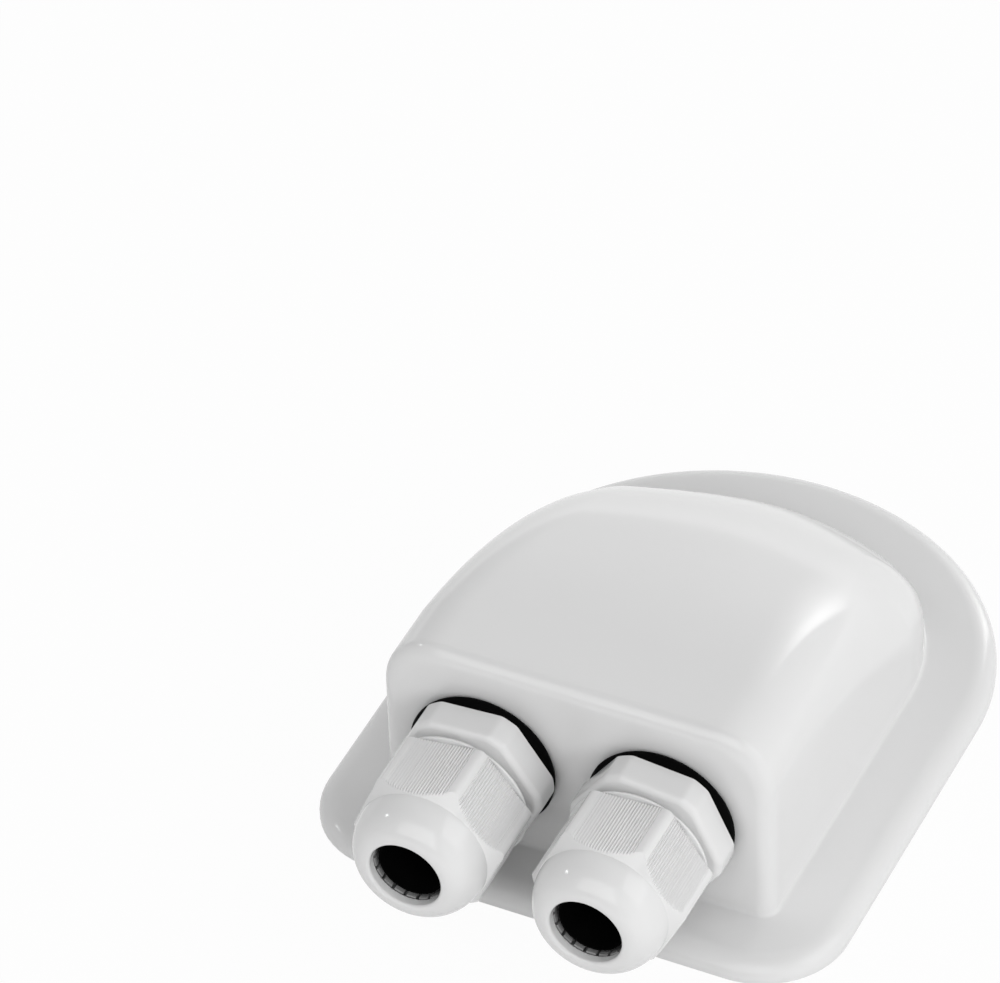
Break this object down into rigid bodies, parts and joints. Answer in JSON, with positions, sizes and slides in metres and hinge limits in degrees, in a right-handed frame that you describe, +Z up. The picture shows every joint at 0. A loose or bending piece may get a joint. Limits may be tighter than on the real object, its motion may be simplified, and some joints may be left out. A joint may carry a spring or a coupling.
{
  "type": "solar roof cable entry box",
  "caption": "White D-shaped roof box with a wide flange and a sloping hollow hood, open below, whose upright front wall carries side-by-side clamping cable glands.",
  "frame": {"origin": "on the roof plane, under the middle of the part's box", "axes": "+Z up from the roof, +Y from the glands to the rear arch, +X to the right seen from the glands"},
  "size_m": [0.1, 0.1428, 0.0436],
  "materials": {
    "white_abs": "smooth glossy moulding",
    "white_nylon": "satin moulded nylon",
    "grey_nylon": "satin moulded nylon",
    "black_rubber": "matt rubber"
  },
  "bodies": {
    "base": {"housing": "white_abs", "left_gland_body": "white_nylon", "left_gasket": "black_rubber", "left_locknut": "white_nylon", "right_gland_body": "white_nylon", "right_gasket": "black_rubber", "right_locknut": "white_nylon"},
    "left_clamp": {"left_claw": "grey_nylon", "left_seal": "black_rubber"},
    "left_cap": {"left_dome_nut": "white_nylon"},
    "right_clamp": {"right_claw": "grey_nylon", "right_seal": "black_rubber"},
    "right_cap": {"right_dome_nut": "white_nylon"}
  },
  "joints": [
    {"name": "left_clamp_draw", "type": "slide", "parent": "base", "child": "left_clamp", "axis": [0, -1, 0], "range_m": [0, 0.0075]},
    {"name": "left_cap_turn", "type": "hinge", "parent": "left_clamp", "child": "left_cap", "pos_m": [-0.01695, -0.0606, 0.0226], "axis": [0, -1, 0], "range_deg": [0, 1800]},
    {"name": "right_clamp_draw", "type": "slide", "parent": "base", "child": "right_clamp", "axis": [0, -1, 0], "range_m": [0, 0.0075]},
    {"name": "right_cap_turn", "type": "hinge", "parent": "right_clamp", "child": "right_cap", "pos_m": [0.01695, -0.0606, 0.0226], "axis": [0, -1, 0], "range_deg": [0, 1800]}
  ],
  "couplings": [
    {"joint": "left_cap_turn", "follows": "left_clamp_draw", "rad_per_m": 4188.8},
    {"joint": "right_cap_turn", "follows": "right_clamp_draw", "rad_per_m": 4188.8}
  ]
}
